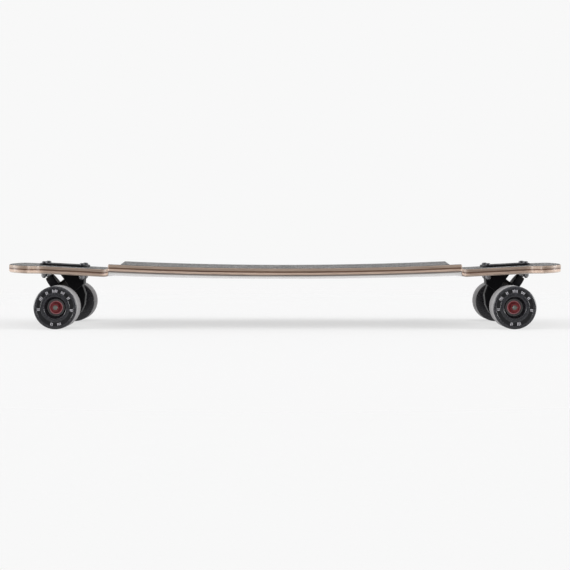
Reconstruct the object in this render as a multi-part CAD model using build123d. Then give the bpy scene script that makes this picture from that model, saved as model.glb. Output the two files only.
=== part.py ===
from build123d import *
import os
from math import cos, sin, atan, degrees, radians, pi

# A drop-through longboard. Millimetres, +X along the board to the nose, +Y to its left side, +Z up.
# The origin is on the ground under the middle of the deck.

# ---------------------------------------------------------------- driving dimensions: deck
DECK_HALF_LENGTH = 463.5
RAIL_HALF_WIDTH_MID = 118.0
CORNER_X = 287.2
CORNER_HALF_WIDTH = 116.0
NECK_HALF_WIDTH = 57.0
NECK_START_X = 295.4
NECK_END_X = 409.0
NOSE_SHOULDER_X = 424.0
NOSE_HALF_WIDTH = 85.0
NOSE_TIP_HALF_WIDTH = 80.0
NOSE_CROWN = 8.5            # how far the middle of the blunt nose stands ahead of its corners
RADIUS_NOSE = 28.0
RADIUS_NECK = 15.0
RADIUS_SHOULDER = 9.0
RADIUS_CORNER = 3.0

UNDERSIDE_MID_Z = 77.95     # height of the deck's lowest point
ROCKER = 6.0e-5             # rise per mm squared along the board
END_START_X = 300.0         # the flat ends are straight lines in profile, given by their height here
END_START_Z = 82.5
END_SLOPE = 0.052           # rise per mm of the flat ends
CONCAVE_MID = 5.6e-4        # rise per mm squared across the board
CONCAVE_GAIN = 1.4e-4       # added at the platform's corners
FADE_START_X = 286.0        # rocker and concave fade into the flat ends between these
FADE_END_X = 304.0

# Laminate from the top down: name and thickness. Their sum is the deck's thickness.
PLIES = [("top_ply", 4.4), ("dark_ply", 2.6), ("light_ply", 3.2), ("bottom_ply", 2.2)]
GLUE_LINE = 0.02
REST_START_U = 62.0         # a flat rest under each tip, outward of the axle by this much
REST_DEPTH = 0.02
GRIP_THICKNESS = 0.7
GRIP_MARGIN = 0.5
WINDOW_MARGIN = 2.5         # how much the grip's window is longer and wider than the flange
GRID_STEP_X = 8.0
GRID_STEP_Y = 13.0
GRID_HALF_X = 480.0
GRID_HALF_Y = 130.0
SURFACE_TOLERANCE = 0.005
CORNER_MATCH = 0.01

# ---------------------------------------------------------------- driving dimensions: truck
AXLE_X = 371.7
WHEEL_RADIUS = 35.0
STEER_ANGLE = 50.0          # between the steering axis and the mounting plate
STEER_K = -4.2              # the steering axis passes this far from the axle, towards the deck
PATTERN_U = 6.5             # middle of the mounting pattern, outward of the axle
BOLT_SPACING_U = 63.5
BOLT_SPACING_Y = 41.3
BOLT_RADIUS = 2.45
BOLT_HOLE_RADIUS = 2.7
FLANGE_LENGTH = 79.5
FLANGE_WIDTH = 55.0
FLANGE_THICKNESS = 4.5
FLANGE_CORNER = 9.0
FLANGE_CHAMFER = 0.8
BODY_HALF_WIDTH = 13.8      # baseplate body that drops through the deck's slot
BODY_U = (-29.0, 39.0)
SLOT_CLEARANCE = 0.4
SLOT_CORNER = 1.0
BODY_FLOOR_RISE = 0.4       # the body's outer end stops this far inside the slot
HEEL_V = 35.5               # lowest inner corner of the body
HEEL_DRAFT = 0.7
POCKET_V = 44.0             # floor of the inner weight-saving pocket
POCKET = (-16.0, 20.0)      # its middle and length
OUTER_POCKET_V = 53.0
OUTER_POCKET = (22.0, 26.0)
POCKET_WIDTH = 16.4
POCKET_CORNER = 3.0
SEAT_GAP = 0.03             # parts bolted together meet within this
TOWER_HALF_WIDTH = 9.8
TOWER_BACK_SK = [(-12.0, -42.0), (6.0, -36.0), (19.0, -24.0)]    # the pivot tower's far side
TOWER_SHOULDER_K = -12.0
TOWER_FRONT_SK = [(11.6, -17.0), (6.0, -19.0), (-12.0, -24.0)]    # its side by the bushings
SEAT_K = -23.0              # slanted bushing seat
WEDGE_END_S = -9.0
KINGPIN_S = -24.0
KINGPIN_RADIUS = 4.75
KINGPIN_HEAD_K = -40.0
KINGPIN_HEAD_HEIGHT = 5.0
KINGPIN_HEX = 14.2
HEAD_ROOM = 1.5
HEAD_ROOM_RADIUS = 8.2
KINGPIN_END_K = 28.5
BUSHING_RADIUS = 13.0
YOKE_K = (-11.2, 2.8)       # faces of the hanger's yoke plate
YOKE_HALF_WIDTH = 17.0
YOKE_ROUND_S = -39.5
YOKE_ROOT_S = 4.0
YOKE_CHAMFER = 1.0
WEB_K = (-5.5, 2.0)         # faces of the web between the yoke and the beam
WEB_SIDE = [(-33.0, 14.0), (-27.0, 20.0), (-7.0, 66.0), (5.0, 66.0)]    # its outline on one side
YOKE_HOLE_RADIUS = 8.2
BUSHING_GAP = 0.1
CUP_MOUTH_S = 11.6
CUP_END_S = 23.6
CUP_RADIUS = 7.6
NOSE_RADIUS = 5.2
NOSE_GAP = 0.35
NOSE_END_S = 22.0
NOSE_TIP_CHAMFER = 1.5
NOSE_ROOT = (8.0, 8.6)       # where the pivot nose leaves its root: distance and radius
NOSE_START_S = 11.0
CUP_FLOOR_GAP = 0.5
HOUSING_END_S = 25.5
HANGER_HALF_LENGTH = 90.0
COLLAR = 4.0                # thicker ends of the hanger's beam
COLLAR_STEP = 1.0
COLLAR_BLEND = 3.0
BEAM_MIDDLE_HALF = 24.0
NECK_BALL_RADIUS = 9.4      # root of the pivot nose
BEAM_RADIUS = 10.4
BEAM_END_RADIUS = 8.4
AXLE_RADIUS = 4.0
AXLE_HALF_LENGTH = 124.5
AXLE_CHAMFER = 0.8
FIT = 0.03                  # radial clearance of assembled round fits
CUT_MARGIN = 1.0            # how far a cutter starts outside what it cuts

# ---------------------------------------------------------------- driving dimensions: hardware
LOCK_RING_OVERLAP = 1.1     # a nut's lock ring starts this many of its heights from its end
BOLT_HEAD_RADIUS = 4.5
BOLT_HEAD_HEIGHT = 3.1
BOLT_HEAD_ROUND = 2.3
BOLT_SOCKET = 1.6
BOLT_SOCKET_DEPTH = 1.8
BOLT_BELOW = 8.2            # how far a bolt stands below the deck
MOUNT_WASHER_RADIUS = 6.3
MOUNT_WASHER_THICKNESS = 1.0
MOUNT_NUT_HEX = 8.8
MOUNT_NUT_HEIGHT = 4.0
MOUNT_NUT_RING_RADIUS = 4.0
MOUNT_NUT_RING_HEIGHT = 1.6
BUSHING_CHAMFER = 0.8
BUSHING_PLAY = 0.1
BUSHING_TAPER = 3.0         # how much the roadside bushing narrows towards its washer
BUSHING_STRAIGHT = 4.0
ROAD_BUSHING_HEIGHT = 12.7
BOARD_WASHER_RADIUS = 12.0
BOARD_WASHER_THICKNESS = 1.2
ROAD_WASHER_HEIGHT = 1.95
ROAD_WASHER_LIP = 1.4
ROAD_WASHER_RADII = (10.6, 11.6, 12.6, 11.4)    # seat, lip inside, lip outside, back
KINGPIN_NUT_HEIGHT = 8.15
KINGPIN_NUT_RING = 2.2
KINGPIN_NUT_RING_RADIUS = 6.4
AXLE_WASHER_RADIUS = 6.0
AXLE_NUT_HEX = 12.6
AXLE_NUT_HEIGHT = 4.6
AXLE_NUT_RING_RADIUS = 5.7
AXLE_NUT_RING_HEIGHT = 2.0

# ---------------------------------------------------------------- driving dimensions: wheel
WHEEL_Y = 103.0             # middle of the wheel
WHEEL_HALF_WIDTH = 25.0
WASHER_THICKNESS = 1.0
BEARING_WIDTH = 7.0
BEARING_RADIUS = 11.0
SPACER_LENGTH = 10.0
INNER_RACE_RADIUS = 6.1
OUTER_RACE_INNER_RADIUS = 9.6
BALL_COUNT = 7
SHIELD_THICKNESS = 0.4
CORE_RIM_RADIUS = 14.4
CORE_BOND_RADIUS = 22.0
FACE_RECESS_RADIUS = 18.0
FACE_RECESS_FLOOR = 13.0    # from the wheel's middle
RECESS_DRAFT = 3.0          # how much the recess narrows towards its floor
RECESS_LIP = 1.4
RECESS_CLEARANCE = 0.13     # between the recess floor and the core's rim
BAND_RADII = (24.0, 30.0)   # shallow band round each face
BAND_DEPTH = 0.6
BAND_DRAFT = 0.4
LIP_WIDTH = 2.4             # rounded lip between the face and the tread
LIP_HEIGHT = 2.4
LIP_SHAPE = [(0.0, 1.0), (0.28, 0.42), (0.65, 0.1), (1.0, 0.0)]    # parts of its width and height
CORE_TUBE_HALF = 13.6
CORE_FLANGE_HALF = 6.0
CORE_WEB_RADIUS = 8.4
CORE_STEP = 1.2
SHIELD_INSET = 0.3
SHIELD_GAP = 0.35
SPACER_RADIUS = 5.4
BALL_PLAY = 0.05

# ---------------------------------------------------------------- worked out from the above
DECK_THICKNESS = sum(thickness for _, thickness in PLIES)
TILT = degrees(atan(END_SLOPE))
STEER = radians(STEER_ANGLE)
S_DIR = Vector(-cos(STEER), 0, -sin(STEER))     # along the steering axis, down and inward
K_DIR = Vector(sin(STEER), 0, -cos(STEER))      # along the kingpin, down and outward
BEARING_Y = (WHEEL_Y - SPACER_LENGTH / 2 - BEARING_WIDTH / 2, WHEEL_Y + SPACER_LENGTH / 2 + BEARING_WIDTH / 2)
SIDES = (1, -1)


def end_fade(x):
    """One over the platform, falling smoothly to zero where the flat ends begin."""
    fade = min(1.0, max(0.0, (FADE_END_X - abs(x)) / (FADE_END_X - FADE_START_X)))
    return fade * fade * (3 - 2 * fade)


def centreline_height(x):
    """Underside of the deck on its centreline: a rocker between two flat, rising ends."""
    rocker = UNDERSIDE_MID_Z + ROCKER * x * x
    flat_end = END_START_Z + END_SLOPE * (abs(x) - END_START_X)
    fade = end_fade(x)
    return fade * rocker + (1 - fade) * flat_end


def underside_height(x, y):
    """Underside of the deck at a point: the centreline plus the concave, which fades out at the necks."""
    concave = CONCAVE_MID + CONCAVE_GAIN * min(1.0, abs(x) / CORNER_X) ** 2
    return centreline_height(x) + concave * end_fade(x) * y * y


PLATE_V = (centreline_height(AXLE_X) + DECK_THICKNESS - WHEEL_RADIUS) * cos(radians(TILT))
UNDER_V = PLATE_V - DECK_THICKNESS * cos(radians(TILT))


# ---------------------------------------------------------------- helpers
def steps(limit, step):
    count = round(limit / step)
    return [limit * i / count for i in range(-count, count + 1)]


def curved_face(lift):
    """The deck's curved surface, lifted above its underside."""
    rows = [[Vector(x, y, underside_height(x, y) + lift) for y in steps(GRID_HALF_Y, GRID_STEP_Y)]
            for x in steps(GRID_HALF_X, GRID_STEP_X)]
    return Face.make_surface_from_array_of_points(rows, tol=SURFACE_TOLERANCE, min_deg=1, max_deg=3)


def side_point(s, k):
    """A point in the truck's side plane from its distances along the steering axis and the kingpin."""
    return S_DIR * s + K_DIR * k


def side_uv(s, k):
    point = side_point(s, k)
    return (point.X, point.Z)


def side_plate(points, half_width):
    """A plate whose outline lies in the side plane, centred across the board."""
    outline = make_face(Plane.XZ * Polyline(*points, close=True))
    return extrude(outline, amount=half_width, both=True)


def kingpin_plane(k, s=KINGPIN_S):
    """A plane square to the kingpin: its x runs along the steering axis and its y across the board."""
    return Plane(origin=side_point(s, k), x_dir=S_DIR, z_dir=K_DIR)


def steer_plane(s, k=STEER_K):
    """A plane square to the steering axis."""
    return Plane(origin=side_point(s, k), x_dir=K_DIR, z_dir=S_DIR)


def rod(plane, radius, length):
    return plane * Cylinder(radius, length, align=(Align.CENTER, Align.CENTER, Align.MIN))


def ring(plane, outer, inner, length):
    return rod(plane, outer, length) - rod(plane, inner, length)


def hexagon(plane, across_flats, length):
    outline = RegularPolygon(across_flats / 2, 6, major_radius=False)
    return extrude(plane * outline, amount=length)


def cross_plane(y, outward):
    """A plane square to the axle at y, facing outward from the board's middle."""
    return Plane(origin=(0, y, 0), x_dir=(1, 0, 0), z_dir=(0, outward, 0))


def revolve_about_steer(points):
    """A turned shape: points are (distance along the steering axis, radius)."""
    plane = Plane(origin=side_point(0, STEER_K), x_dir=S_DIR, z_dir=K_DIR)
    outline = make_face(plane * Polyline(*points, close=True))
    return revolve(outline, axis=Axis(side_point(0, STEER_K), S_DIR))


def revolve_about_axle(points):
    """A turned shape about the axle: points are (distance along the axle, radius)."""
    outline = make_face(Plane.XY * Polyline(*[(radius, y) for y, radius in points], close=True))
    return revolve(outline, axis=Axis.Y)


def rounded_box(length, width, height, radius, centre_u, base_v):
    outline = Pos(centre_u, 0) * RectangleRounded(length, width, radius)
    return Pos(0, 0, base_v) * extrude(outline, amount=height)


def bolt_places():
    return [(PATTERN_U + i * BOLT_SPACING_U / 2, j * BOLT_SPACING_Y / 2) for i in SIDES for j in SIDES]


def truck_place(end):
    """The truck's own frame, origin on the axle, put at the nose (+1) or the tail (-1)."""
    turn = 0 if end > 0 else 180
    return Rot(0, 0, turn) * Pos(AXLE_X, 0, WHEEL_RADIUS) * Rot(0, -TILT, 0)


# ---------------------------------------------------------------- deck
def mirrored_corners(face, x, y):
    """The outline's four corners at plus and minus x, y."""
    return [v for v in face.vertices() if max(abs(abs(v.X) - x), abs(abs(v.Y) - y)) < CORNER_MATCH]


def deck_outline():
    corner_x = DECK_HALF_LENGTH - NOSE_CROWN
    side = [(CORNER_X, CORNER_HALF_WIDTH), (NECK_START_X, NECK_HALF_WIDTH), (NECK_END_X, NECK_HALF_WIDTH),
            (NOSE_SHOULDER_X, NOSE_HALF_WIDTH), (corner_x, NOSE_TIP_HALF_WIDTH)]
    edges = []
    for along in SIDES:
        for across in SIDES:
            edges.append(Polyline(*[(along * x, across * y) for x, y in side]))
        edges.append(ThreePointArc((along * corner_x, -NOSE_TIP_HALF_WIDTH), (along * DECK_HALF_LENGTH, 0),
                                   (along * corner_x, NOSE_TIP_HALF_WIDTH)))
    for across in SIDES:
        edges.append(ThreePointArc((-CORNER_X, across * CORNER_HALF_WIDTH), (0, across * RAIL_HALF_WIDTH_MID),
                                   (CORNER_X, across * CORNER_HALF_WIDTH)))
    face = make_face(Curve() + edges)
    for (x, y), radius in zip(side, (RADIUS_CORNER, RADIUS_NECK, RADIUS_NECK, RADIUS_SHOULDER, RADIUS_NOSE)):
        face = fillet(mirrored_corners(face, x, y), radius)
    return face


def truck_openings(end):
    """The slot and the four bolt holes that one truck needs through the deck."""
    half_width = BODY_HALF_WIDTH + SLOT_CLEARANCE
    length = BODY_U[1] - BODY_U[0] + 2 * SLOT_CLEARANCE
    middle = (BODY_U[0] + BODY_U[1]) / 2
    depth = 3 * DECK_THICKNESS
    base = UNDER_V - DECK_THICKNESS
    cutters = [rounded_box(length, 2 * half_width, depth, SLOT_CORNER, middle, base)]
    for u, y in bolt_places():
        cutters.append(rod(Plane(origin=(u, y, base)), BOLT_HOLE_RADIUS, depth))
    return [truck_place(end) * cutter for cutter in cutters]


def flange_window(end):
    """The gap in the grip sheet that the baseplate's flange sits in."""
    cutter = rounded_box(FLANGE_LENGTH + WINDOW_MARGIN, FLANGE_WIDTH + WINDOW_MARGIN, 3 * DECK_THICKNESS,
                         FLANGE_CORNER, PATTERN_U, UNDER_V - DECK_THICKNESS)
    return truck_place(end) * cutter


def tip_rest(end):
    """What is planed off under a tip to leave it truly flat, as a rest for a rack or stand."""
    reach = DECK_HALF_LENGTH - AXLE_X
    width = 2 * GRID_HALF_Y
    cutter = Pos(REST_START_U + reach / 2, 0, UNDER_V + REST_DEPTH - DECK_THICKNESS / 2)
    return truck_place(end) * cutter * Box(reach, width, DECK_THICKNESS)


def layer(outline, top_lift, thickness, cutters):
    """One sheet of the laminate: the curved surface thickened, cut to the plan outline."""
    sheet = extrude(curved_face(top_lift), amount=thickness, dir=(0, 0, -1))
    plan = extrude(outline, amount=4 * WHEEL_RADIUS)
    sheet = sheet & plan
    for cutter in cutters:
        sheet = sheet - cutter
    return sheet


def make_deck():
    outline = deck_outline()
    openings = truck_openings(1) + truck_openings(-1)
    nodes = {}
    top = DECK_THICKNESS
    for name, thickness in PLIES:
        nodes[name] = layer(outline, top, thickness - GLUE_LINE, openings)
        top -= thickness
    for end in SIDES:
        nodes["bottom_ply"] -= tip_rest(end)
    grip_outline = offset(outline, amount=-GRIP_MARGIN, kind=Kind.INTERSECTION)
    windows = [flange_window(1), flange_window(-1)]
    grip_top = DECK_THICKNESS + GRIP_THICKNESS
    nodes["grip_sheet"] = layer(grip_outline, grip_top, GRIP_THICKNESS - GLUE_LINE, windows)
    return nodes


# ---------------------------------------------------------------- truck parts, in the truck's own frame
def make_baseplate():
    flange = rounded_box(FLANGE_LENGTH, FLANGE_WIDTH, FLANGE_THICKNESS, FLANGE_CORNER, PATTERN_U,
                         PLATE_V + SEAT_GAP)
    inner_u, outer_u = BODY_U
    top_v = PLATE_V + FLANGE_THICKNESS / 2
    slot_floor_v = UNDER_V + BODY_FLOOR_RISE
    wedge_top = side_uv(WEDGE_END_S - (slot_floor_v - side_uv(WEDGE_END_S, SEAT_K)[1]) / sin(STEER), SEAT_K)
    wedge = side_plate([(inner_u, top_v), (inner_u + HEEL_DRAFT, HEEL_V), side_uv(WEDGE_END_S, SEAT_K),
                        wedge_top, (outer_u, slot_floor_v), (outer_u, top_v)], BODY_HALF_WIDTH)
    tower_end = [(HOUSING_END_S, TOWER_SHOULDER_K), (HOUSING_END_S, STEER_K), (CUP_MOUTH_S, STEER_K)]
    tower_sk = TOWER_BACK_SK + tower_end + TOWER_FRONT_SK
    tower = side_plate([side_uv(s, k) for s, k in tower_sk], TOWER_HALF_WIDTH)
    housing = rod(steer_plane(CUP_MOUTH_S), TOWER_HALF_WIDTH, HOUSING_END_S - CUP_MOUTH_S)
    body = flange + wedge + tower + housing
    cup_depth = CUP_END_S - CUP_MOUTH_S
    body -= rod(steer_plane(CUP_MOUTH_S - CUT_MARGIN), CUP_RADIUS + FIT, cup_depth + CUT_MARGIN)
    pin_length = SEAT_K - KINGPIN_HEAD_K + 2 * CUT_MARGIN
    body -= rod(kingpin_plane(KINGPIN_HEAD_K - CUT_MARGIN), KINGPIN_RADIUS + FIT, pin_length)
    head_room = KINGPIN_HEAD_HEIGHT + HEAD_ROOM
    body -= rod(kingpin_plane(KINGPIN_HEAD_K - head_room), HEAD_ROOM_RADIUS, head_room)
    for (middle, length), floor_v in ((POCKET, POCKET_V), (OUTER_POCKET, OUTER_POCKET_V)):
        height = PLATE_V + 2 * FLANGE_THICKNESS - floor_v
        body -= rounded_box(length, POCKET_WIDTH, height, POCKET_CORNER, middle, floor_v)
    for u, y in bolt_places():
        body -= rod(Plane(origin=(u, y, PLATE_V - CUT_MARGIN)), BOLT_HOLE_RADIUS, 2 * FLANGE_THICKNESS)
    rim = body.faces().sort_by(Axis.Z)[-1].outer_wire().edges()
    return chamfer(rim, FLANGE_CHAMFER)


def make_hanger():
    low_k, high_k = YOKE_K
    yoke_corners = [(YOKE_ROOT_S, -YOKE_HALF_WIDTH), (YOKE_ROUND_S, -YOKE_HALF_WIDTH),
                    (YOKE_ROUND_S, YOKE_HALF_WIDTH), (YOKE_ROOT_S, YOKE_HALF_WIDTH)]
    yoke_outline = make_face(Polyline(*yoke_corners, close=True))
    yoke_outline += Pos(YOKE_ROUND_S, 0) * Circle(YOKE_HALF_WIDTH)
    yoke = extrude(kingpin_plane(low_k, 0) * yoke_outline, amount=high_k - low_k)
    yoke = chamfer(yoke.faces().sort_by(Axis(side_point(0, 0), K_DIR))[0].edges(), YOKE_CHAMFER)
    web_other_side = [(s, -y) for s, y in reversed(WEB_SIDE)]
    web_outline = make_face(Polyline(*WEB_SIDE, *web_other_side, close=True))
    web = extrude(kingpin_plane(WEB_K[0], 0) * web_outline, amount=WEB_K[1] - WEB_K[0])
    end = HANGER_HALF_LENGTH
    collar = end - COLLAR
    collar_radius = BEAM_END_RADIUS + COLLAR_STEP
    taper = collar - COLLAR_BLEND
    middle = BEAM_MIDDLE_HALF
    half_beam = [(middle, BEAM_RADIUS), (taper, BEAM_END_RADIUS), (collar, collar_radius), (end, collar_radius),
                 (end, 0)]
    other_half = [(-y, radius) for y, radius in reversed(half_beam)]
    beam = revolve_about_axle(other_half + half_beam)
    nose = revolve_about_steer([(0, 0), (0, NECK_BALL_RADIUS), NOSE_ROOT, (NOSE_START_S, NOSE_RADIUS),
                                (NOSE_END_S - NOSE_TIP_CHAMFER, NOSE_RADIUS),
                                (NOSE_END_S, NOSE_RADIUS - NOSE_TIP_CHAMFER), (NOSE_END_S, 0)])
    body = beam + yoke + web + nose
    body -= rod(kingpin_plane(low_k - CUT_MARGIN), YOKE_HOLE_RADIUS, high_k - low_k + 2 * CUT_MARGIN)
    body -= rod(cross_plane(-end - CUT_MARGIN, 1), AXLE_RADIUS + FIT, 2 * (end + CUT_MARGIN))
    return body


def make_axle():
    axle = rod(cross_plane(-AXLE_HALF_LENGTH, 1), AXLE_RADIUS, 2 * AXLE_HALF_LENGTH)
    return chamfer(axle.edges().filter_by(GeomType.CIRCLE), AXLE_CHAMFER)


def make_kingpin():
    head = hexagon(kingpin_plane(KINGPIN_HEAD_K - KINGPIN_HEAD_HEIGHT), KINGPIN_HEX, KINGPIN_HEAD_HEIGHT)
    start = KINGPIN_HEAD_K - CUT_MARGIN
    shank = rod(kingpin_plane(start), KINGPIN_RADIUS, KINGPIN_END_K - start)
    return head + shank


def turned_on_kingpin(points):
    """A turned shape on the kingpin: points are (distance along the kingpin, radius)."""
    plane = Plane(origin=side_point(KINGPIN_S, 0), x_dir=K_DIR, z_dir=S_DIR)
    outline = make_face(plane * Polyline(*points, close=True))
    return revolve(outline, axis=Axis(side_point(KINGPIN_S, 0), K_DIR))


BOARD_WASHER = (SEAT_K + SEAT_GAP, SEAT_K + BOARD_WASHER_THICKNESS)
BOARD_BUSHING = (BOARD_WASHER[1] + SEAT_GAP, YOKE_K[0] - BUSHING_GAP)
ROAD_BUSHING = (YOKE_K[1] + BUSHING_GAP, YOKE_K[1] + BUSHING_GAP + ROAD_BUSHING_HEIGHT)
ROAD_WASHER = (ROAD_BUSHING[1] + SEAT_GAP, ROAD_BUSHING[1] + SEAT_GAP + ROAD_WASHER_HEIGHT)
KINGPIN_NUT = (ROAD_WASHER[1] + SEAT_GAP, ROAD_WASHER[1] + SEAT_GAP + KINGPIN_NUT_HEIGHT)
BUSHING_BORE = KINGPIN_RADIUS + BUSHING_PLAY


def make_boardside_bushing():
    low, high = BOARD_BUSHING
    edge = BUSHING_RADIUS - BUSHING_CHAMFER
    return turned_on_kingpin([(low, BUSHING_BORE), (low, edge), (low + BUSHING_CHAMFER, BUSHING_RADIUS),
                              (high - BUSHING_CHAMFER, BUSHING_RADIUS), (high, edge), (high, BUSHING_BORE)])


def make_roadside_bushing():
    low, high = ROAD_BUSHING
    edge = BUSHING_RADIUS - BUSHING_CHAMFER
    return turned_on_kingpin([(low, BUSHING_BORE), (low, edge), (low + BUSHING_CHAMFER, BUSHING_RADIUS),
                              (low + BUSHING_STRAIGHT, BUSHING_RADIUS), (high, BUSHING_RADIUS - BUSHING_TAPER),
                              (high, BUSHING_BORE)])


def make_kingpin_washers():
    board_low, board_high = BOARD_WASHER
    road_low, road_high = ROAD_WASHER
    bore = KINGPIN_RADIUS + FIT
    flat = turned_on_kingpin([(board_low, bore), (board_low, BOARD_WASHER_RADIUS),
                              (board_high, BOARD_WASHER_RADIUS), (board_high, bore)])
    lip = road_low - ROAD_WASHER_LIP
    seat, lip_inside, lip_outside, back = ROAD_WASHER_RADII
    cup = turned_on_kingpin([(road_low, bore), (road_low, seat), (lip, lip_inside), (lip, lip_outside),
                             (road_high, back), (road_high, bore)])
    return [flat, cup]


def make_kingpin_nut():
    low, high = KINGPIN_NUT
    nut = hexagon(kingpin_plane(low), KINGPIN_HEX, high - low - KINGPIN_NUT_RING)
    ring_height = LOCK_RING_OVERLAP * KINGPIN_NUT_RING
    nut += rod(kingpin_plane(high - ring_height), KINGPIN_NUT_RING_RADIUS, ring_height)
    return nut - rod(kingpin_plane(low - CUT_MARGIN), KINGPIN_RADIUS + FIT, high - low + 2 * CUT_MARGIN)


def make_pivot_cup():
    wall = NOSE_RADIUS + NOSE_GAP
    floor_s = NOSE_END_S + CUP_FLOOR_GAP
    end_s = CUP_END_S - SEAT_GAP
    return revolve_about_steer([(CUP_MOUTH_S, wall), (CUP_MOUTH_S, CUP_RADIUS), (end_s, CUP_RADIUS),
                                (end_s, 0), (floor_s, 0), (floor_s, wall)])


def make_mounting_bolts():
    head_base = PLATE_V + SEAT_GAP + FLANGE_THICKNESS + SEAT_GAP
    solids = []
    for u, y in bolt_places():
        head = rod(Plane(origin=(u, y, head_base)), BOLT_HEAD_RADIUS, BOLT_HEAD_HEIGHT)
        head = fillet(head.faces().sort_by(Axis.Z)[-1].edges(), BOLT_HEAD_ROUND)
        socket = Plane(origin=(u, y, head_base + BOLT_HEAD_HEIGHT - BOLT_SOCKET_DEPTH))
        head -= extrude(socket * RegularPolygon(BOLT_SOCKET, 6), amount=BOLT_HEAD_HEIGHT)
        shank = head_base - UNDER_V + BOLT_BELOW + CUT_MARGIN / 2
        solids.append(head + rod(Plane(origin=(u, y, UNDER_V - BOLT_BELOW)), BOLT_RADIUS, shank))
    return solids


def make_mounting_washers():
    base = UNDER_V - SEAT_GAP - MOUNT_WASHER_THICKNESS
    return [ring(Plane(origin=(u, y, base)), MOUNT_WASHER_RADIUS, BOLT_RADIUS + FIT, MOUNT_WASHER_THICKNESS)
            for u, y in bolt_places()]


def make_mounting_nuts():
    solids = []
    for u, y in bolt_places():
        top = UNDER_V - MOUNT_WASHER_THICKNESS - 2 * SEAT_GAP
        end = top - MOUNT_NUT_HEIGHT - MOUNT_NUT_RING_HEIGHT
        nut = hexagon(Plane(origin=(u, y, top - MOUNT_NUT_HEIGHT)), MOUNT_NUT_HEX, MOUNT_NUT_HEIGHT)
        nut += rod(Plane(origin=(u, y, end)), MOUNT_NUT_RING_RADIUS,
                   LOCK_RING_OVERLAP * MOUNT_NUT_RING_HEIGHT)
        bore = top - end + 2 * CUT_MARGIN
        solids.append(nut - rod(Plane(origin=(u, y, end - CUT_MARGIN)), BOLT_RADIUS + FIT, bore))
    return solids


# ---------------------------------------------------------------- parts on the axle
def axle_stack():
    """Where each part on one side of the axle starts, going outward from the hanger."""
    inner_washer = HANGER_HALF_LENGTH
    outer_washer = BEARING_Y[1] + BEARING_WIDTH / 2
    return inner_washer, outer_washer, outer_washer + WASHER_THICKNESS


def make_axle_washers():
    inner_washer, outer_washer, _ = axle_stack()
    return [ring(cross_plane(side * (y + SEAT_GAP), side), AXLE_WASHER_RADIUS, AXLE_RADIUS + FIT,
                 WASHER_THICKNESS - 2 * SEAT_GAP)
            for side in SIDES for y in (inner_washer, outer_washer)]


def make_axle_nuts():
    _, _, start = axle_stack()
    solids = []
    for side in SIDES:
        nut = hexagon(cross_plane(side * start, side), AXLE_NUT_HEX, AXLE_NUT_HEIGHT)
        ring_height = LOCK_RING_OVERLAP * AXLE_NUT_RING_HEIGHT
        lock = start + AXLE_NUT_HEIGHT + AXLE_NUT_RING_HEIGHT - ring_height
        nut += rod(cross_plane(side * lock, side), AXLE_NUT_RING_RADIUS, ring_height)
        bore = AXLE_NUT_HEIGHT + AXLE_NUT_RING_HEIGHT + 2 * CUT_MARGIN
        solids.append(nut - rod(cross_plane(side * (start - CUT_MARGIN), side), AXLE_RADIUS + FIT, bore))
    return solids


def make_inner_races():
    bore = AXLE_RADIUS + FIT
    return [ring(cross_plane(side * (y - BEARING_WIDTH / 2 + SEAT_GAP), side), INNER_RACE_RADIUS, bore,
                 BEARING_WIDTH - 2 * SEAT_GAP) for side in SIDES for y in BEARING_Y]


def make_bearing_spacers():
    start = WHEEL_Y - SPACER_LENGTH / 2
    return [ring(cross_plane(side * start, side), SPACER_RADIUS, AXLE_RADIUS + FIT, SPACER_LENGTH)
            for side in SIDES]


def make_outer_races(side):
    return [ring(cross_plane(side * (y - BEARING_WIDTH / 2), side), BEARING_RADIUS, OUTER_RACE_INNER_RADIUS,
                 BEARING_WIDTH) for y in BEARING_Y]


def make_shields(side):
    inset = BEARING_WIDTH / 2 - SHIELD_INSET
    return [ring(cross_plane(side * (y + face * inset) - side * SHIELD_THICKNESS / 2, side),
                 OUTER_RACE_INNER_RADIUS - FIT, INNER_RACE_RADIUS + SHIELD_GAP, SHIELD_THICKNESS)
            for y in BEARING_Y for face in SIDES]


def make_balls(side):
    pitch = (INNER_RACE_RADIUS + OUTER_RACE_INNER_RADIUS) / 2
    radius = (OUTER_RACE_INNER_RADIUS - INNER_RACE_RADIUS) / 2 - BALL_PLAY
    turns = [2 * pi * i / BALL_COUNT for i in range(BALL_COUNT)]
    return [Pos(pitch * cos(turn), side * y, pitch * sin(turn)) * Sphere(radius)
            for y in BEARING_Y for turn in turns]


def make_core(side):
    """The wheel's stiff hub: two bearing seats, a rim and a bonding flange inside the tyre."""
    middle = side * WHEEL_Y
    tube = CORE_TUBE_HALF
    seat = SPACER_LENGTH / 2 - SEAT_GAP
    flange = CORE_FLANGE_HALF
    outer = BEARING_RADIUS + FIT
    root = CORE_RIM_RADIUS + CORE_STEP
    points = [(-tube, outer), (-tube, CORE_RIM_RADIUS), (-flange, root), (-flange, CORE_BOND_RADIUS),
              (flange, CORE_BOND_RADIUS), (flange, root), (tube, CORE_RIM_RADIUS), (tube, outer),
              (seat, outer), (seat, CORE_WEB_RADIUS), (-seat, CORE_WEB_RADIUS), (-seat, outer)]
    return revolve_about_axle([(middle + y, radius) for y, radius in points])


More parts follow.
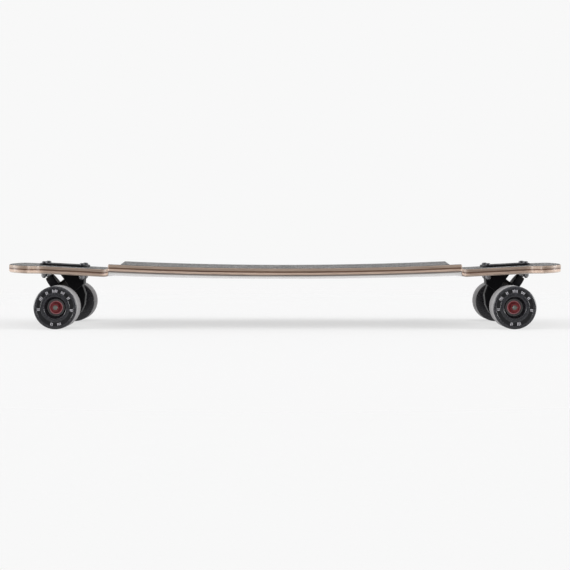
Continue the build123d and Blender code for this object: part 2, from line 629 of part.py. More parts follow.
def make_tyre(side):
    """The urethane tyre: ground tread, rounded lips and a shallow recessed band on its outer face."""
    middle = side * WHEEL_Y
    half = WHEEL_HALF_WIDTH
    floor = FACE_RECESS_FLOOR
    recess = FACE_RECESS_RADIUS
    band_in, band_out = BAND_RADII
    band = half - BAND_DEPTH
    rim = [(floor, recess - RECESS_DRAFT), (half - RECESS_LIP, recess), (half, recess + RECESS_LIP)]
    face_band = [(half, band_in - BAND_DRAFT), (band, band_in), (band, band_out), (half, band_out + BAND_DRAFT)]
    lip = [(half - along * LIP_WIDTH, WHEEL_RADIUS - below * LIP_HEIGHT) for along, below in LIP_SHAPE]
    flange = CORE_FLANGE_HALF + SEAT_GAP
    root = CORE_RIM_RADIUS + CORE_STEP + SEAT_GAP
    bond = [(flange, CORE_BOND_RADIUS + SEAT_GAP), (flange, root), (floor, CORE_RIM_RADIUS + RECESS_CLEARANCE)]
    outer_half = bond + rim + face_band + lip
    inner_half = [(-y, radius) for y, radius in reversed(bond + rim + lip)]
    return revolve_about_axle([(middle + side * y, radius) for y, radius in outer_half + inner_half])


# ---------------------------------------------------------------- assembly
TRUCK_PARTS = {
    "baseplate": make_baseplate, "hanger": make_hanger, "axle": make_axle, "kingpin": make_kingpin,
    "boardside_bushing": make_boardside_bushing, "roadside_bushing": make_roadside_bushing,
    "kingpin_washers": make_kingpin_washers, "kingpin_nut": make_kingpin_nut, "pivot_cup": make_pivot_cup,
    "mounting_bolts": make_mounting_bolts, "mounting_washers": make_mounting_washers,
    "mounting_nuts": make_mounting_nuts, "axle_washers": make_axle_washers, "axle_nuts": make_axle_nuts,
    "bearing_inner_races": make_inner_races, "bearing_spacers": make_bearing_spacers,
}
WHEEL_PARTS = {
    "core": make_core, "tyre": make_tyre, "bearing_outer_races": make_outer_races,
    "bearing_shields": make_shields, "bearing_balls": make_balls,
}


def write_node(name, shape):
    solids = shape if isinstance(shape, list) else [shape]
    pieces = [solid for item in solids for solid in item.solids()]
    export_step(Compound(children=pieces) if len(pieces) > 1 else pieces[0], f"parts/{name}.step")


def placed(place, shape):
    if isinstance(shape, list):
        return [place * item for item in shape]
    return place * shape


def main():
    os.makedirs("parts", exist_ok=True)
    for name, shape in make_deck().items():
        write_node(name, shape)
    for end, end_name in ((1, "front"), (-1, "rear")):
        place = truck_place(end)
        for part_name, make in TRUCK_PARTS.items():
            write_node(f"{end_name}_{part_name}", placed(place, make()))
        for side in SIDES:
            side_name = "left" if side * end > 0 else "right"
            for part_name, make in WHEEL_PARTS.items():
                write_node(f"{end_name}_{side_name}_{part_name}", placed(place, make(side)))


main()
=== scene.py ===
"""The looks of a drop-through longboard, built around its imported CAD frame. Metres, +X to the nose, +Z up."""
import math
import random

import bpy
import numpy as np
from mathutils import Matrix, Vector
from mathutils.geometry import delaunay_2d_cdt


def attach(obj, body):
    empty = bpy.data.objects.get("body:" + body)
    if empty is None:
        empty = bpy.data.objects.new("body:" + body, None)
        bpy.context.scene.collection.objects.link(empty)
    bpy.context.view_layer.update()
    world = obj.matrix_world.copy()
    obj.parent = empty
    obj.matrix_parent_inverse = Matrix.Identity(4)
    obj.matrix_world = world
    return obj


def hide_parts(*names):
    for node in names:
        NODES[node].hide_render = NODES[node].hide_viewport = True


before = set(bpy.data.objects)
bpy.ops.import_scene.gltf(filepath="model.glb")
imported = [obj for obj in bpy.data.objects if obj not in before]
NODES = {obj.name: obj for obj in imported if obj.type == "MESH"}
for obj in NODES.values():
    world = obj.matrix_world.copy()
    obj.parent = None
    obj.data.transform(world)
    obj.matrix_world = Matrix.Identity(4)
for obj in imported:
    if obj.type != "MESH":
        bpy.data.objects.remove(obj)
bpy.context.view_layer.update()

MM = 0.001
ENDS = (("front", 1), ("rear", -1))
SIDES = (("left", 1), ("right", -1))
random.seed(7)

# ---------------------------------------------------------------- camera, light and floor
LENS, SENSOR = 87.221, 36.0                # millimetres
CAMERA_DISTANCE = 2.355                    # from the board's centre line, on its right-hand side
CAMERA_HEIGHT = 0.157
CAMERA_PITCH = math.radians(2.187)         # downward
CAMERA_REACH = 100.0
SUNS = [                                   # name, the way its light travels, strength, softness in degrees
    ("overhead_softbox", (0.0, 0.12, -1.0), 0.45, 70),
    ("left_strip", (1.0, 0.14, -0.26), 4.4, 30),
    ("right_strip", (-1.0, 0.14, -0.26), 4.4, 30),
]
SUN_AWAY = 3.0
BACKDROP = 0.939                           # what the camera sees behind the object
STUDIO_LEVELS = [                          # what the object sees, from below (0) to above (1)
    (0.0, 0.45), (0.495, 0.14), (0.505, 0.12), (0.60, 0.30), (0.72, 0.92), (1.0, 1.15),
]
STUDIO_COOLNESS = 1.01
STUDIO_BACK, STUDIO_BACK_REACH = 0.94, 0.35   # the level far behind, and how soon it takes over
FLOOR_HALF = 4.0
FLOOR_TONE = (0.19, 0.19, 0.19)
FLOOR_GLOW = 0.60
FLOOR_FADE = (0.75, 1.75)                  # the floor fades out between these distances from the middle


def make_camera():
    data = bpy.data.cameras.new("camera")
    data.sensor_width = SENSOR
    data.lens = LENS
    data.clip_end = CAMERA_REACH
    camera = bpy.data.objects.new("camera", data)
    camera.location = (0.0, -CAMERA_DISTANCE, CAMERA_HEIGHT)
    camera.rotation_euler = (math.pi / 2 - CAMERA_PITCH, 0.0, 0.0)
    bpy.context.scene.collection.objects.link(camera)
    bpy.context.scene.camera = camera


def add_sun(name, toward, strength, softness):
    """A very large, soft lamp whose light travels along toward."""
    data = bpy.data.lights.new(name, "SUN")
    data.energy = strength
    data.angle = math.radians(softness)
    lamp = bpy.data.objects.new(name, data)
    lamp.rotation_euler = Vector(toward).to_track_quat("-Z", "Y").to_euler()
    lamp.location = (-Vector(toward).normalized() * SUN_AWAY)[:]
    bpy.context.scene.collection.objects.link(lamp)


def make_world():
    """A white backdrop for the camera; for the object, a studio bright above and behind and dim in front."""
    world = bpy.data.worlds.new("studio_white")
    world.use_nodes = True
    tree = world.node_tree
    tree.nodes.clear()
    coords = tree.nodes.new("ShaderNodeTexCoord")
    split = tree.nodes.new("ShaderNodeSeparateXYZ")
    tree.links.new(coords.outputs["Generated"], split.inputs["Vector"])
    height = tree.nodes.new("ShaderNodeMapRange")
    height.inputs["From Min"].default_value = -1.0
    tree.links.new(split.outputs["Z"], height.inputs["Value"])
    ramp = tree.nodes.new("ShaderNodeValToRGB")
    while len(ramp.color_ramp.elements) < len(STUDIO_LEVELS):
        ramp.color_ramp.elements.new(0.5)
    for element, (position, level) in zip(ramp.color_ramp.elements, STUDIO_LEVELS):
        element.position = position
        element.color = (level, level, level * STUDIO_COOLNESS, 1.0)
    tree.links.new(height.outputs["Result"], ramp.inputs["Fac"])
    behind = tree.nodes.new("ShaderNodeMapRange")
    behind.inputs["From Max"].default_value = STUDIO_BACK_REACH
    tree.links.new(split.outputs["Y"], behind.inputs["Value"])
    sweep = tree.nodes.new("ShaderNodeMix")
    sweep.data_type = "RGBA"
    factor, level, back = [k for k in sweep.inputs if k.enabled]
    back.default_value = (STUDIO_BACK, STUDIO_BACK, STUDIO_BACK, 1.0)
    tree.links.new(behind.outputs["Result"], factor)
    tree.links.new(ramp.outputs["Color"], level)
    studio = tree.nodes.new("ShaderNodeBackground")
    tree.links.new([k for k in sweep.outputs if k.enabled][0], studio.inputs["Color"])
    paper = tree.nodes.new("ShaderNodeBackground")
    paper.inputs["Color"].default_value = (BACKDROP, BACKDROP, BACKDROP, 1.0)
    path = tree.nodes.new("ShaderNodeLightPath")
    mix = tree.nodes.new("ShaderNodeMixShader")
    tree.links.new(path.outputs["Is Camera Ray"], mix.inputs["Fac"])
    tree.links.new(studio.outputs["Background"], mix.inputs[1])
    tree.links.new(paper.outputs["Background"], mix.inputs[2])
    output = tree.nodes.new("ShaderNodeOutputWorld")
    tree.links.new(mix.outputs["Shader"], output.inputs["Surface"])
    bpy.context.scene.world = world
    bpy.context.scene.view_settings.view_transform = "Standard"


def make_studio():
    for sun in SUNS:
        add_sun(*sun)
    make_world()
    mesh = bpy.data.meshes.new("studio_floor")
    h = FLOOR_HALF
    mesh.from_pydata([(-h, -h, 0.0), (h, -h, 0.0), (h, h, 0.0), (-h, h, 0.0)], [], [(0, 1, 2, 3)])
    floor = bpy.data.objects.new("studio_floor", mesh)
    bpy.context.scene.collection.objects.link(floor)
    mesh.materials.append(floor_paper())


# ---------------------------------------------------------------- material helpers
class Shader:
    """A node material under construction: every method adds a node and returns its output."""

    def __init__(self, name):
        self.material = bpy.data.materials.new(name)
        self.material.use_nodes = True
        self.tree = self.material.node_tree
        self.bsdf = self.tree.nodes["Principled BSDF"]
        self.coords = self.tree.nodes.new("ShaderNodeTexCoord").outputs["Object"]

    def node(self, kind, **values):
        node = self.tree.nodes.new(kind)
        for key, value in values.items():
            setattr(node, key, value)
        return node

    def link(self, source, socket):
        self.tree.links.new(source, socket)

    def stretched(self, scale):
        mapping = self.node("ShaderNodeMapping")
        mapping.inputs["Scale"].default_value = scale
        self.link(self.coords, mapping.inputs["Vector"])
        return mapping.outputs["Vector"]

    def noise(self, scale, stretch=(1, 1, 1), detail=4.0, roughness=0.55, distortion=0.0):
        node = self.node("ShaderNodeTexNoise")
        node.inputs["Scale"].default_value = scale
        node.inputs["Detail"].default_value = detail
        node.inputs["Roughness"].default_value = roughness
        node.inputs["Distortion"].default_value = distortion
        self.link(self.stretched(stretch), node.inputs["Vector"])
        return node.outputs["Fac"]

    def cells(self, scale, output="Distance"):
        node = self.node("ShaderNodeTexVoronoi")
        node.inputs["Scale"].default_value = scale
        self.link(self.coords, node.inputs["Vector"])
        return node.outputs[output]

    def ramp(self, source, stops):
        node = self.node("ShaderNodeValToRGB")
        elements = node.color_ramp.elements
        while len(elements) < len(stops):
            elements.new(0.5)
        for element, (position, color) in zip(elements, stops):
            element.position = position
            element.color = (*color, 1.0) if hasattr(color, "__len__") else (color, color, color, 1.0)
        self.link(source, node.inputs["Fac"])
        return node.outputs["Color"]

    def remap(self, source, low, high, to_low, to_high, **style):
        node = self.node("ShaderNodeMapRange", **style)
        for name, value in zip(("From Min", "From Max", "To Min", "To Max"), (low, high, to_low, to_high)):
            node.inputs[name].default_value = value
        self.link(source, node.inputs["Value"])
        return node.outputs["Result"]

    def combine(self, a, b, operation="ADD"):
        node = self.node("ShaderNodeMath", operation=operation)
        self.link(a, node.inputs[0])
        if hasattr(b, "links"):
            self.link(b, node.inputs[1])
        else:
            node.inputs[1].default_value = b
        return node.outputs["Value"]

    def mix(self, factor, a, b):
        node = self.node("ShaderNodeMix", data_type="RGBA")
        for name, value in (("Factor", factor), ("A", a), ("B", b)):
            socket = [s for s in node.inputs if s.name == name and s.enabled][0]
            if hasattr(value, "links"):
                self.link(value, socket)
            elif name == "Factor":
                socket.default_value = value
            else:
                socket.default_value = (*value, 1.0)
        return [s for s in node.outputs if s.enabled][0]

    def edges(self, low=0.52, high=0.62):
        """Bright along convex edges, from the mesh's own shape."""
        node = self.node("ShaderNodeNewGeometry")
        return self.remap(node.outputs["Pointiness"], low, high, 0.0, 1.0)

    def bump(self, height, strength, distance):
        node = self.node("ShaderNodeBump")
        node.inputs["Strength"].default_value = strength
        node.inputs["Distance"].default_value = distance
        self.link(height, node.inputs["Height"])
        self.link(node.outputs["Normal"], self.bsdf.inputs["Normal"])

    def feed(self, **sockets):
        """Sets or links the shader's sockets; an underscore in a name stands for a space."""
        for key, value in sockets.items():
            socket = self.bsdf.inputs[key.replace("_", " ")]
            if hasattr(value, "links"):
                self.link(value, socket)
            elif hasattr(value, "__len__"):
                socket.default_value = (*value, 1.0)
            else:
                socket.default_value = value
        return self.material


def floor_paper():
    """A white light table, lit from below and above, that fades into the backdrop away from the object."""
    s = Shader("studio_paper")
    reach = s.node("ShaderNodeVectorMath", operation="LENGTH")
    s.link(s.coords, reach.inputs[0])
    fade = s.remap(reach.outputs["Value"], *FLOOR_FADE, 1.0, 0.0, interpolation_type="SMOOTHSTEP")
    return s.feed(Base_Color=FLOOR_TONE, Roughness=1.0, Specular_IOR_Level=0.0, Alpha=fade,
                  Emission_Color=(1.0, 1.0, 1.0), Emission_Strength=FLOOR_GLOW)


# ---------------------------------------------------------------- materials of the object
FLOOR_REFLECTION_FROM = (0.285, 0.325)     # the underside takes on a painted reflection of the lit floor, paler between these distances from the middle


def wood(name, light, dark, pores):
    """A dyed or plain laminate ply: long grain along the board, pores, and blotches of tone."""
    s = Shader(name)
    grain = s.noise(9.0, (2.0, 26.0, 60.0), detail=7.0, distortion=0.6)
    fibres = s.noise(60.0, (1.0, 22.0, 34.0), detail=5.0, roughness=0.7)
    blotch = s.noise(7.0, (1.0, 3.0, 3.0), detail=2.0)
    tone = s.ramp(grain, [(0.30, dark), (0.52, light), (0.75, [c * 1.12 for c in light])])
    tone = s.mix(s.remap(fibres, 0.42, 0.66, 0.0, 0.42), tone, pores)
    tone = s.mix(s.remap(blotch, 0.4, 0.8, 0.0, 0.25), tone, dark)
    s.bump(s.combine(fibres, s.combine(grain, 0.4, "MULTIPLY")), 0.25, 0.00012)
    return s.feed(Base_Color=tone, Roughness=s.remap(fibres, 0.3, 0.7, 0.34, 0.52), Coat_Weight=0.25,
                  Coat_Roughness=0.18, Specular_IOR_Level=0.35)


def bottom_finish():
    """The stained underside, painted paler at the ends as a painted reflection of the lit floor, under a clear
    lacquer that mirrors the floor.
    """
    s = Shader("bottom_ply_stain")
    grain = s.noise(8.0, (1.6, 24.0, 50.0), detail=8.0, distortion=0.8)
    fibres = s.noise(70.0, (1.0, 20.0, 30.0), detail=5.0, roughness=0.7)
    stained = [(0.28, (0.060, 0.042, 0.033)), (0.50, (0.130, 0.100, 0.082)), (0.74, (0.200, 0.160, 0.130))]
    pale = [(0.28, (0.300, 0.225, 0.175)), (0.50, (0.460, 0.365, 0.300)), (0.74, (0.560, 0.460, 0.390))]
    middle, ends = s.ramp(grain, stained), s.ramp(grain, pale)
    split = s.node("ShaderNodeSeparateXYZ")
    s.link(s.coords, split.inputs["Vector"])
    along = s.combine(split.outputs["X"], 0.0, "ABSOLUTE")
    # paler ends: a painted reflection of the lit floor; the middle keeps the darker stain
    tone = s.mix(s.remap(along, *FLOOR_REFLECTION_FROM, 0.0, 1.0), middle, ends)
    tone = s.mix(s.remap(fibres, 0.42, 0.68, 0.0, 0.4), tone, (0.06, 0.042, 0.034))
    s.bump(fibres, 0.15, 0.00008)
    return s.feed(Base_Color=tone, Roughness=s.remap(fibres, 0.3, 0.7, 0.26, 0.40), Coat_Weight=0.8,
                  Coat_Roughness=0.10, Specular_IOR_Level=0.5)


def grip_finish():
    """Coarse abrasive sheet: tight grit with its raised tops painted lighter and its hollows painted darker as
    painted shade, painted glints on some grains, and a little dust in the hollows.
    """
    s = Shader("grip_abrasive")
    grit = s.cells(1500.0)
    lumps = s.noise(900.0, detail=3.0, roughness=0.7)
    crystal_glints = s.cells(2100.0, output="Color")
    dust = s.noise(14.0, detail=5.0)
    # painted shade: the grit is painted lighter on its raised tops and darker in the hollows between them,
    # following its own bump
    tone = s.ramp(grit, [(0.05, 0.20), (0.35, 0.080), (0.75, 0.030)])
    split = s.node("ShaderNodeSeparateColor")
    s.link(crystal_glints, split.inputs["Color"])
    # painted glints: a few grains painted bright, as if catching the light
    tone = s.mix(s.remap(split.outputs["Red"], 0.80, 0.95, 0.0, 0.75), tone, (0.36, 0.35, 0.35))
    tone = s.mix(s.remap(dust, 0.45, 0.75, 0.0, 0.16), tone, (0.24, 0.23, 0.22))
    s.bump(s.combine(s.combine(grit, -1.0, "MULTIPLY"), lumps), 0.8, 0.0004)
    return s.feed(Base_Color=tone, Roughness=0.93, Specular_IOR_Level=0.25, Sheen_Weight=0.04,
                  Sheen_Roughness=0.5)


def cast_black():
    """Black powder coat on a casting, lighter along its edges from wear and a painted highlight, and dull at a
    flat angle.
    """
    s = Shader("truck_powder_coat")
    peel = s.noise(700.0, detail=2.0)
    cast = s.noise(120.0, detail=4.0)
    scuff = s.noise(55.0, detail=6.0, roughness=0.7)
    # lighter along convex edges: partly edge wear, partly a painted highlight
    edge_wear_and_highlight = s.combine(s.edges(0.515, 0.60), s.remap(scuff, 0.40, 0.62, 0.15, 1.0), "MULTIPLY")
    tone = s.mix(s.combine(edge_wear_and_highlight, 0.22, "MULTIPLY"), (0.0060, 0.0060, 0.0070), (0.10, 0.10, 0.105))
    s.bump(s.combine(peel, s.combine(cast, 1.6, "MULTIPLY")), 0.22, 0.00018)
    return s.feed(Base_Color=tone, Roughness=s.remap(scuff, 0.35, 0.7, 0.48, 0.64), Specular_IOR_Level=0.4,
                  Specular_Tint=(0.15, 0.15, 0.16))


def steel(name, color, rough, worn):
    """Turned or plated steel with fine machining marks and handling smudges."""
    s = Shader(name)
    turned = s.noise(260.0, (1.0, 9.0, 1.0), detail=3.0)
    smudge = s.noise(130.0, detail=4.0)
    tone = s.mix(s.remap(smudge, 0.42, 0.7, 0.0, 0.4), color, [c * 0.62 for c in color])
    tone = s.mix(s.combine(s.edges(), 0.6, "MULTIPLY"), tone, worn)
    s.bump(turned, 0.12, 0.00006)
    return s.feed(Base_Color=tone, Metallic=1.0, Roughness=s.remap(smudge, 0.3, 0.7, rough, rough + 0.08))


def urethane_gloss(name, base, rubbed, rough, specular):
    """Poured black urethane: smooth, with faint flow waves and fine rub marks."""
    s = Shader(name)
    flow = s.noise(45.0, detail=2.0)
    rubs = s.noise(420.0, detail=5.0, roughness=0.7)
    tone = s.mix(s.remap(rubs, 0.45, 0.72, 0.0, 0.8), base, rubbed)
    s.bump(s.combine(flow, s.combine(rubs, 0.05, "MULTIPLY")), 0.12, 0.0005)
    return s.feed(Base_Color=tone, Roughness=s.remap(rubs, 0.35, 0.7, rough, rough + 0.14),
                  Specular_IOR_Level=specular)


def urethane_ground():
    """The ground tread: matte grey with fine grinding lines round the wheel."""
    s = Shader("urethane_ground_tread")
    lines = s.noise(30.0, (0.6, 60.0, 0.6), detail=6.0, roughness=0.75)
    tooth = s.noise(1100.0, detail=3.0)
    patches = s.noise(38.0, detail=4.0)
    greys = [(0.30, (0.165, 0.162, 0.165)), (0.55, (0.215, 0.211, 0.214)), (0.75, (0.260, 0.256, 0.260))]
    tone = s.ramp(lines, greys)
    tone = s.mix(s.remap(patches, 0.45, 0.75, 0.0, 0.3), tone, (0.165, 0.161, 0.165))
    s.bump(s.combine(lines, s.combine(tooth, 0.5, "MULTIPLY")), 0.35, 0.00016)
    return s.feed(Base_Color=tone, Roughness=0.82, Specular_IOR_Level=0.25)


def bar_grey():
    """The soft, flecked grey of the plain bars in the wheel's band."""
    s = Shader("band_bar_grey")
    fleck = s.noise(520.0, detail=5.0, roughness=0.7)
    tone = s.mix(s.remap(fleck, 0.42, 0.62, 0.0, 0.7), (0.400, 0.390, 0.415), (0.170, 0.164, 0.180))
    s.bump(fleck, 0.2, 0.0001)
    return s.feed(Base_Color=tone, Roughness=s.remap(fleck, 0.3, 0.7, 0.3, 0.5), Specular_IOR_Level=0.5)


def moulded(name, color, pale, rough):
    """Moulded nylon or rubber: fine mould texture, paler where edges are rubbed."""
    s = Shader(name)
    grain = s.noise(620.0, detail=3.0)
    cloud = s.noise(90.0, detail=4.0)
    tone = s.mix(s.remap(cloud, 0.4, 0.75, 0.0, 0.5), color, [c * 0.7 for c in color])
    tone = s.mix(s.combine(s.edges(), 0.5, "MULTIPLY"), tone, pale)
    s.bump(grain, 0.18, 0.00012)
    return s.feed(Base_Color=tone, Roughness=s.remap(cloud, 0.3, 0.7, rough, rough + 0.12),
                  Specular_IOR_Level=0.45)


def make_materials():
    return {
        # the top ply is the tan ply again in a darker copy: painted shade on the board's top layer
        "top_ply": wood("tan_ply_painted_shade_top",
                        (0.275, 0.208, 0.163), (0.195, 0.142, 0.108), (0.138, 0.096, 0.070)),
        "light_ply": wood("light_ply_maple",
                          (0.420, 0.315, 0.250), (0.300, 0.215, 0.166), (0.212, 0.146, 0.108)),
        "dark_ply": wood("dark_ply_dyed",
                         (0.110, 0.060, 0.038), (0.062, 0.033, 0.022), (0.035, 0.019, 0.012)),
        "bottom_ply": bottom_finish(),
        "grip": grip_finish(),
        "cast": cast_black(),
        "oxide": steel("steel_black_oxide", (0.060, 0.060, 0.064), 0.30, (0.34, 0.34, 0.35)),
        "nuts": steel("steel_dark_zinc", (0.210, 0.212, 0.222), 0.24, (0.62, 0.62, 0.62)),
        "bright": steel("steel_ground", (0.200, 0.205, 0.190), 0.34, (0.40, 0.40, 0.38)),
        # the outer races' rosy tint is a painted reflection of the red shields beside them
        "rose": steel("steel_race_painted_red_reflection", (0.560, 0.190, 0.215), 0.30, (0.80, 0.52, 0.54)),
        "gloss": urethane_gloss("urethane_gloss",
                                (0.007, 0.007, 0.009), (0.036, 0.036, 0.044), 0.22, 0.42),
        "band": urethane_gloss("urethane_band_floor",
                               (0.004, 0.004, 0.005), (0.012, 0.012, 0.014), 0.30, 0.25),
        "tread": urethane_ground(),
        "bars": bar_grey(),
        "rim": moulded("core_rim_nylon", (0.066, 0.060, 0.060), (0.20, 0.19, 0.19), 0.36),
        "red": moulded("shield_red", (0.290, 0.016, 0.022), (0.60, 0.16, 0.19), 0.24),
        "red_nut": moulded("nut_red", (0.190, 0.012, 0.016), (0.46, 0.10, 0.12), 0.26),
        "bushing": moulded("bushing_urethane", (0.016, 0.016, 0.018), (0.07, 0.07, 0.07), 0.30),
    }


# ---------------------------------------------------------------- the deck's shape (millimetres)
CORNERS = [                    # a quarter of the outline, from the nose to the rail: x, y, radius
    (455.0, 80.0, 28.0), (424.0, 85.0, 9.0), (409.0, 57.0, 15.0), (295.4, 57.0, 15.0), (287.2, 116.0, 3.0),
]
RAIL_BULGE, NOSE_BULGE = 2.0, 8.5
EDGE_STEP, ARC_STEP = 7.0, math.radians(7.0)
FILL_SPACING, FILL_CLEAR = 9.0, 3.5       # of the points that fill a face: apart, and from its edge
DELAUNAY_EPSILON = 1e-5
UNDERSIDE_MID = 77.95
ROCKER = 6.0e-5
END_START = (300.0, 82.5)      # a point of the rising end's underside: x, z
END_SLOPE = 0.052
TILT = math.atan(END_SLOPE)
FADE = (286.0, 304.0)          # the curved middle turns into the flat end between these distances
CONCAVE_MID, CONCAVE_GAIN = 5.6e-4, 1.4e-4
DECK_THICKNESS = 12.4
BOTTOM_ROUND, TOP_ROUND = 2.4, 0.9
EDGE_ROWS = 8
LAYERS = [                     # ply, material slot, height of its two faces above the underside
    ("bottom_ply", "bottom_wood", 0.0, 2.2),
    ("light_ply", "tan_wood", 2.2, 5.4),
    ("dark_ply", "dark_wood", 5.4, 8.0),
    ("top_ply", "tan_wood", 8.0, 12.4),
]
GLUE = 0.02
GRIP_THICKNESS, GRIP_MARGIN = 0.7, 0.95
GRIP_ROUND, GRIP_DRAW = 0.25, 0.9      # the upper part of the grip's edge that draws in, and how steeply
AXLE_X, AXLE_Z = 371.7, 35.0
# A truck's frame: u along the tilted plate, away from the board's middle; v up from the axle.
PLATE_V = 63.54
PATTERN_U = 6.5                # the middle of the bolt pattern
BOLT_U, BOLT_Y, HOLE_RADIUS = 31.75, 20.65, 2.7
SLOT_U, SLOT_HALF, SLOT_ROUND = (-29.4, 39.4), 14.2, 1.2
WINDOW_HALF_U, WINDOW_HALF_Y, WINDOW_ROUND = 41.0, 28.75, 9.5
HOLE_SIDES = 24
HOLE_STEP = 5.0


def underside(x, y):
    """Height of the deck's underside: rocker along its middle, concave across it, flat rising ends."""
    along = abs(x)
    fade = min(1.0, max(0.0, (FADE[1] - along) / (FADE[1] - FADE[0])))
    fade = fade * fade * (3 - 2 * fade)
    z = fade * (UNDERSIDE_MID + ROCKER * along * along)
    z += (1 - fade) * (END_START[1] + END_SLOPE * (along - END_START[0]))
    concave = CONCAVE_MID + CONCAVE_GAIN * min(1.0, along / CORNERS[-1][0]) ** 2
    return z + concave * fade * y * y


def corner_arc(before, corner, after, radius):
    """Points of the round that replaces a corner between two straight stretches."""
    a = (before - corner).normalized()
    b = (after - corner).normalized()
    half = a.angle(b) / 2
    centre = corner + (a + b).normalized() * (radius / math.sin(half))
    start = corner + a * (radius / math.tan(half)) - centre
    end = corner + b * (radius / math.tan(half)) - centre
    turn = math.atan2(start.x * end.y - start.y * end.x, start.dot(end))
    count = max(3, math.ceil(abs(turn) / ARC_STEP))
    return [centre + Matrix.Rotation(turn * i / count, 2) @ start for i in range(count + 1)]


def straight(start, end, step):
    """The points between start and end, evenly spaced, without the two."""
    count = max(1, round((end - start).length / step))
    return [start.lerp(end, i / count) for i in range(1, count)]


def rounded_loop(corners, step):
    """A closed outline from (x, y, radius) corners, as evenly spaced points."""
    points = [Vector((x, y)) for x, y, _ in corners]
    loop = []
    for i, (_, _, radius) in enumerate(corners):
        turn = corner_arc(points[i - 1], points[i], points[(i + 1) % len(points)], radius)
        if loop:
            loop += straight(loop[-1], turn[0], step)
        loop += turn
    return loop + straight(loop[-1], loop[0], step)


def deck_loop():
    """The deck's outline, counter-clockwise: the quarter mirrored, then the rails and noses bulged."""
    upper = CORNERS + [(-x, y, r) for x, y, r in reversed(CORNERS)]
    lower = [(-x, -y, r) for x, y, r in upper]
    loop = rounded_loop(upper + lower, EDGE_STEP)
    corner_x, nose_y = CORNERS[-1][0], CORNERS[0][1]
    for p in loop:
        if abs(p.x) < corner_x:
            p.y += math.copysign(RAIL_BULGE * (1 - (p.x / corner_x) ** 2), p.y)
        elif abs(p.x) > CORNERS[1][0] and abs(p.y) < nose_y:
            p.x += math.copysign(NOSE_BULGE * (1 - (p.y / nose_y) ** 2), p.x)
    return loop


def inset_loop(loop, amount):
    """The loop moved inward by amount."""
    moved = []
    for i, p in enumerate(loop):
        before = (p - loop[i - 1]).normalized()
        after = (loop[(i + 1) % len(loop)] - p).normalized()
        tangent = (before + after).normalized()
        stretch = 1.0 / max(0.5, tangent.dot(after))
        moved.append(p + Vector((-tangent.y, tangent.x)) * (amount * stretch))
    return moved


def truck_plan(end, u, y):
    """A point of a truck's plate, seen from above in the board's frame."""
    x = AXLE_X + u * math.cos(TILT) - PLATE_V * math.sin(TILT)
    return Vector((end * x, end * y))


def hole_loop(end, u, y):
    """A bolt hole in a truck's frame, clockwise."""
    middle = truck_plan(end, u, y)
    turns = [-2 * math.pi * i / HOLE_SIDES for i in range(HOLE_SIDES)]
    return [middle + Vector((math.cos(t), math.sin(t))) * HOLE_RADIUS for t in turns]


def box_loop(end, low_u, high_u, half_y, radius):
    """A rounded rectangle in a truck's frame, clockwise, for a hole."""
    corners = [(low_u, -half_y), (low_u, half_y), (high_u, half_y), (high_u, -half_y)]
    turned = [(*truck_plan(end, u, y), radius) for u, y in corners]
    return rounded_loop(turned, HOLE_STEP)


def inside_loop(points, loop):
    """Which of the points lie inside the loop, by counting crossings."""
    ring = np.array([(p.x, p.y) for p in loop])
    after = np.roll(ring, -1, axis=0)
    inside = np.zeros(len(points), bool)
    for (x0, y0), (x1, y1) in zip(ring, after):
        crosses = (y0 > points[:, 1]) != (y1 > points[:, 1])
        at = x0 + (points[:, 1] - y0) * (x1 - x0) / (y1 - y0 if y1 != y0 else 1.0)
        inside ^= crosses & (points[:, 0] < at)
    return inside


def inside_region(points, loops):
    """Which of the points lie in the first loop and in none of the others."""
    inside = inside_loop(points, loops[0])
    for hole in loops[1:]:
        inside &= ~inside_loop(points, hole)
    return inside


def filled(loops):
    """The points, the loops' own first, and the triangles that fill the first loop less the others."""
    points, edges = [], []
    for loop in loops:
        base = len(points)
        points += loop
        edges += [(base + i, base + (i + 1) % len(loop)) for i in range(len(loop))]
    ring = np.array([(p.x, p.y) for p in points])
    reach = np.abs(ring).max(axis=0)
    counts = [math.ceil(r / FILL_SPACING) for r in reach]
    xs, ys = (np.arange(-count, count + 1) * FILL_SPACING for count in counts)
    grid = np.array([(x, y) for x in xs for y in ys], float)
    grid = grid[inside_region(grid, loops)]
    gaps = np.sqrt(((grid[:, None, :] - ring[None, :, :]) ** 2).sum(axis=2)).min(axis=1)
    grid = grid[gaps > FILL_CLEAR]
    points = points + [Vector(p) for p in grid]
    _, _, faces, origins, _, _ = delaunay_2d_cdt(points, edges, [], 0, DELAUNAY_EPSILON)
    index = [origin[0] for origin in origins]
    triangles = [[index[i] for i in face] for face in faces]
    centres = np.array([[sum(points[i][axis] for i in t) / 3 for axis in (0, 1)] for t in triangles])
    kept = []
    for triangle, wanted in zip(triangles, inside_region(centres, loops)):
        if wanted:
            a, b, c = (points[i] for i in triangle)
            up = (b.x - a.x) * (c.y - a.y) - (b.y - a.y) * (c.x - a.x) > 0
            kept.append(triangle if up else triangle[::-1])
    return points, kept


def round_inset(height):
    """How far the deck's rounded edge draws in at a height above its underside."""
    below = DECK_THICKNESS - height
    radius, from_edge = (BOTTOM_ROUND, height) if height < below else (TOP_ROUND, below)
    drop = max(0.0, radius - from_edge)
    return radius - math.sqrt(max(0.0, radius ** 2 - drop ** 2))


